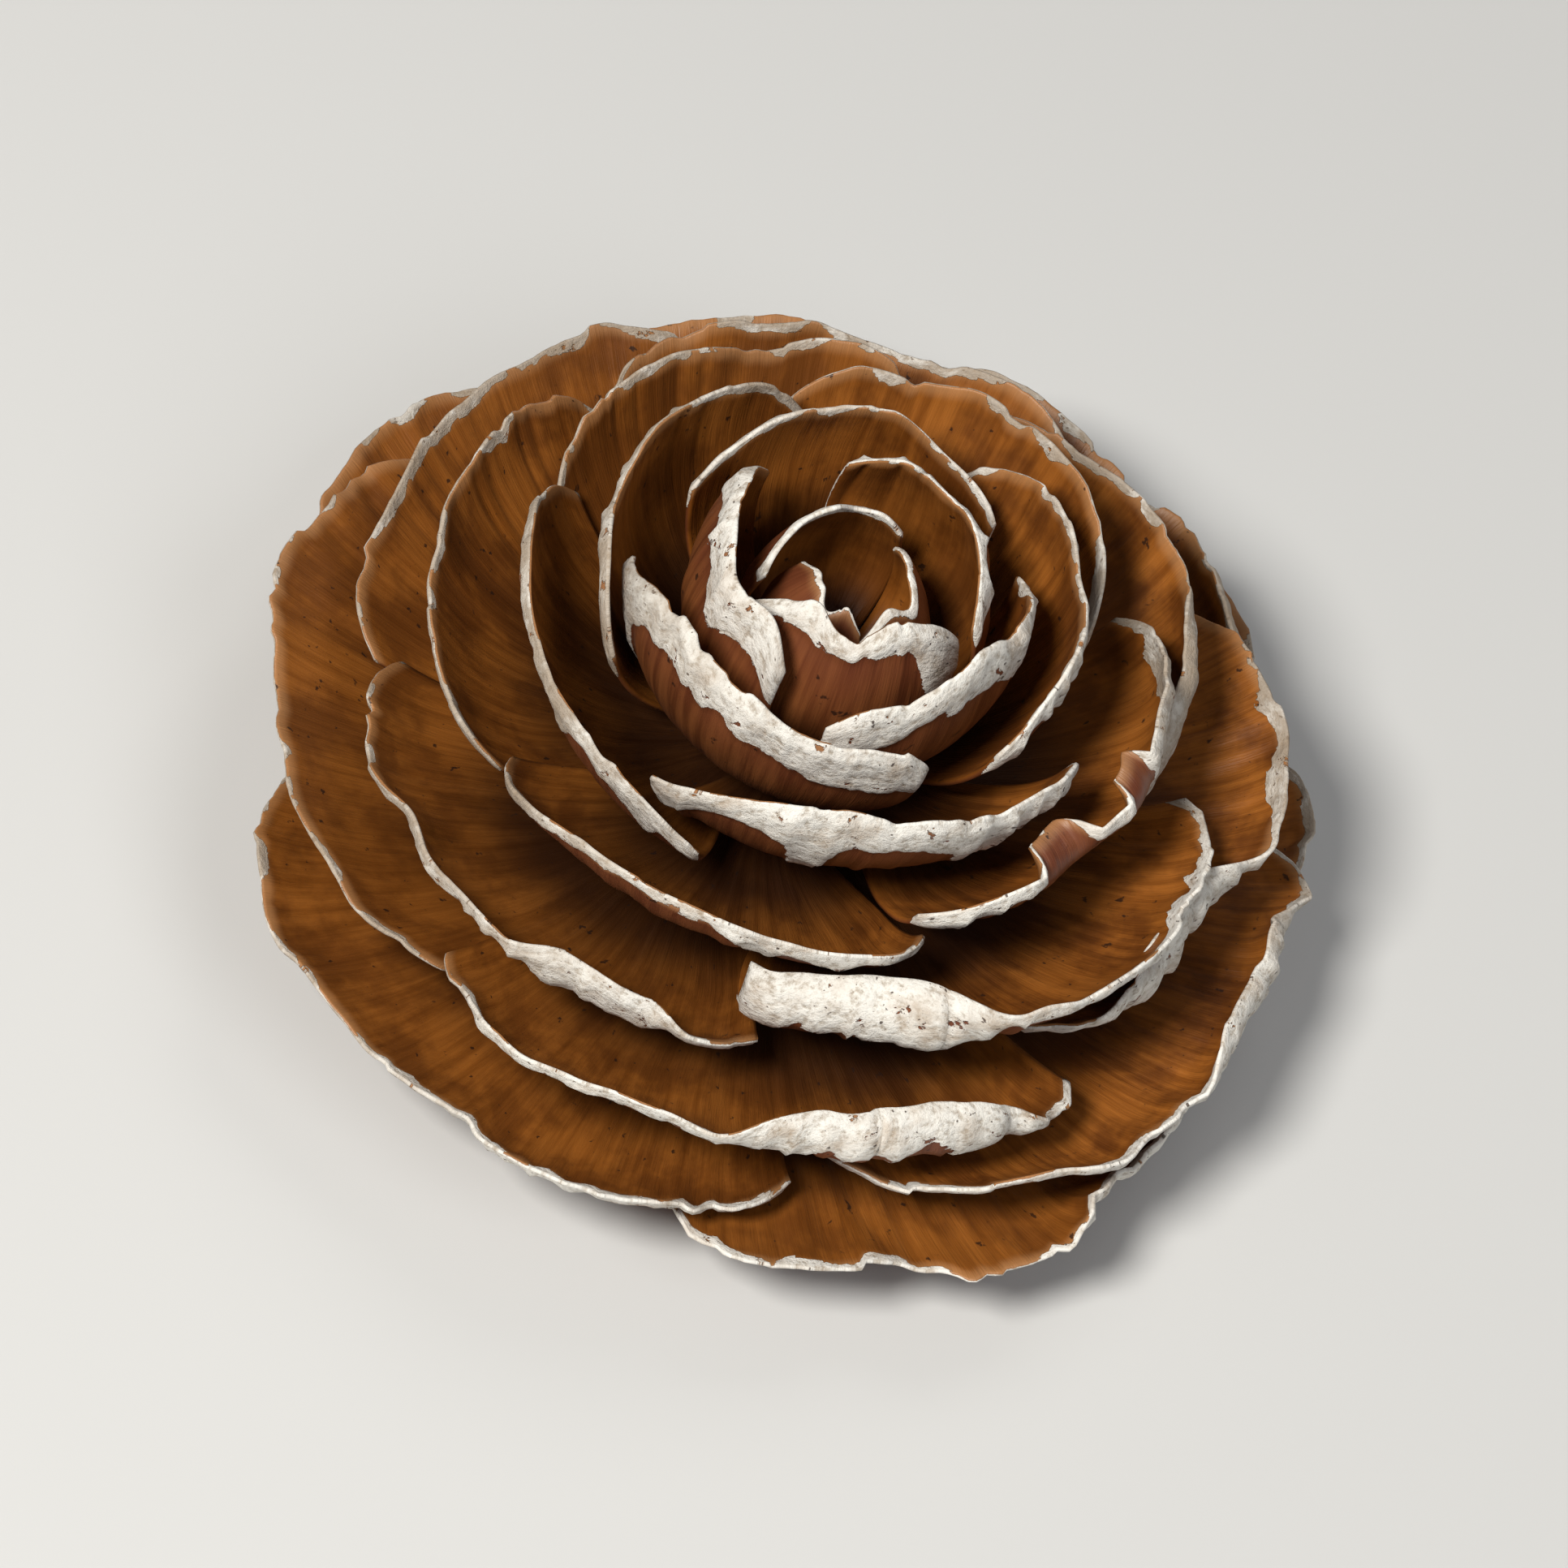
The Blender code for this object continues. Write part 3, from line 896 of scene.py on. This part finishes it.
def crust_share(n, stored):
    """1 where crust covers the wood: the stored crust, with a frayed edge and open pits."""
    fan, crust = stored["fan"], stored["crust"]
    frayed = n.maths("MULTIPLY", n.maths("SUBTRACT", n.texture(fan, "frayed"), 0.5), 1.6)
    share = n.ramp(n.maths("ADD", crust, frayed), 0.46, 0.54)
    share = n.maths("MULTIPLY", share, n.ramp(crust, 0.02, 0.12))
    return n.maths("MULTIPLY", share, n.ramp(n.texture(fan, "pits"), 0.68, 0.64))


def crust_colour(n, stored, grain):
    """Off-white resin, stained and dotted, and darkened away from the worn side by soil and painted shade.
    """
    fan = stored["fan"]
    stained = n.texture(fan, "stained")
    crust = n.colour(n.ramp(grain, 0.30, 0.54), *CRUST_GRAIN)
    crust = n.tinted(crust, CRUST_STAINS, n.ramp(stained, 0.46, 0.74), 0.6)
    crust = n.tinted(crust, CRUST_DOTS, n.ramp(n.texture(fan, "dots"), 0.68, 0.73), 0.9)
    # Soil and painted shade: the crust is greyed unevenly away from the worn side
    uneven = n.maths("ADD", 0.35, n.ramp(stained, 0.30, 0.60))
    soiled_and_shaded = n.maths("MULTIPLY", stored["grime_and_shade"], uneven, clamp=True)
    return n.tinted(crust, CRUST_SOIL_AND_SHADE, soiled_and_shaded, 0.8)


def scale_material():
    """Brown, fibrous wood under a broken pale crust."""
    material = bpy.data.materials.new("cone_scale")
    material.use_nodes = True
    shader = material.node_tree.nodes["Principled BSDF"]
    n = Nodes(material.node_tree)
    stored = stored_values(n)
    streaks = n.texture(stored["fan"], "streaks")
    fine_streaks = n.texture(stored["fan"], "fine streaks")
    grain = n.texture(stored["fan"], "grain")
    crust = crust_share(n, stored)
    wood = wood_colour(n, stored, streaks, fine_streaks)
    n.join(n.colour(crust, wood, crust_colour(n, stored, grain)), shader.inputs["Base Color"])
    dryness = n.maths("ADD", n.maths("MULTIPLY", streaks, STREAK_ROUGHNESS), WOOD_ROUGHNESS)
    n.join(n.number(crust, dryness, CRUST_ROUGHNESS), shader.inputs["Roughness"])
    shader.inputs["Specular IOR Level"].default_value = SPECULAR_LEVEL
    fibrous = n.maths("ADD", n.maths("MULTIPLY", fine_streaks, 0.35), n.maths("MULTIPLY", streaks, 0.4))
    grainy = n.maths("ADD", n.maths("MULTIPLY", grain, 1.6), 0.6)
    bump = n.add("ShaderNodeBump", {"Height": n.number(crust, fibrous, grainy),
                                    "Distance": BUMP_DISTANCE, "Strength": BUMP_STRENGTH})
    n.join(bump.outputs["Normal"], shader.inputs["Normal"])
    return material


def plain_material(name, colour, roughness):
    material = bpy.data.materials.new(name)
    material.use_nodes = True
    shader = material.node_tree.nodes["Principled BSDF"]
    shader.inputs["Base Color"].default_value = (*colour, 1)
    shader.inputs["Roughness"].default_value = roughness
    return material


def add_floor():
    """A plain floor under the rose, wide enough to fill the picture."""
    mesh = bpy.data.meshes.new("floor")
    corners = [(x * FLOOR_REACH, y * FLOOR_REACH, 0) for x, y in ((-1, -1), (1, -1), (1, 1), (-1, 1))]
    mesh.from_pydata(corners, [], [(0, 1, 2, 3)])
    mesh.materials.append(plain_material("floor", FLOOR_COLOUR, FLOOR_ROUGHNESS))
    floor = bpy.data.objects.new("floor", mesh)
    bpy.context.scene.collection.objects.link(floor)


def look_from(azimuth, elevation, distance, target, roll=0.0):
    """A placement at that side of the target, turned to face it."""
    away = Vector((-math.sin(azimuth) * math.cos(elevation), -math.cos(azimuth) * math.cos(elevation),
                   math.sin(elevation)))
    turn = (-away).to_track_quat("-Z", "Y").to_matrix().to_4x4()
    return Matrix.Translation(target + away * distance) @ turn @ Matrix.Rotation(roll, 4, "Z")


def add_light(name, azimuth, elevation, distance, size, power, colour, target):
    """A round lamp that faces the target; its angles are in degrees."""
    light = bpy.data.lights.new(name, "AREA")
    light.shape = "DISK"
    light.size = size
    light.energy = power
    light.color = colour
    lamp = bpy.data.objects.new(name, light)
    lamp.matrix_world = look_from(math.radians(azimuth), math.radians(elevation), distance, target)
    bpy.context.scene.collection.objects.link(lamp)


def add_studio(target):
    """Soft light from above on the camera's left, two weak lights elsewhere, and a dim pale surround."""
    for light in LIGHTS:
        add_light(*light, target)
    world = bpy.data.worlds.new("studio")
    world.use_nodes = True
    background = world.node_tree.nodes["Background"]
    background.inputs["Color"].default_value = SURROUND_COLOUR
    background.inputs["Strength"].default_value = SURROUND_STRENGTH
    bpy.context.scene.world = world
    bpy.context.scene.view_settings.view_transform = "Standard"


def add_camera():
    """The photo's view of the rose, from its front and above."""
    data = bpy.data.cameras.new("camera")
    data.lens = CAMERA_LENS
    data.clip_start = CLIP_START
    camera = bpy.data.objects.new("camera", data)
    camera.matrix_world = look_from(0.0, CAMERA_ELEVATION, CAMERA_DISTANCE, Vector(CAMERA_TARGET),
                                    CAMERA_ROLL)
    bpy.context.scene.collection.objects.link(camera)
    bpy.context.scene.camera = camera


def main():
    material = scale_material()
    draw = random.Random(TRAIT_SEED)
    fine_draw = random.Random(DETAIL_SEED)
    pieces = [make_axis()]
    for index in range(SCALE_COUNT):
        traits = scale_traits(index, draw)
        pieces.append(make_scale(index, traits, fine_traits(index, traits, fine_draw)))
    for piece in pieces:
        piece.data.materials.append(material)
        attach(piece, "root")
    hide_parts("cedar_rose")
    middle = Vector([(low + high) / 2 for low, high in zip(cad_low, cad_high)])
    add_floor()
    add_studio(middle)
    add_camera()


main()
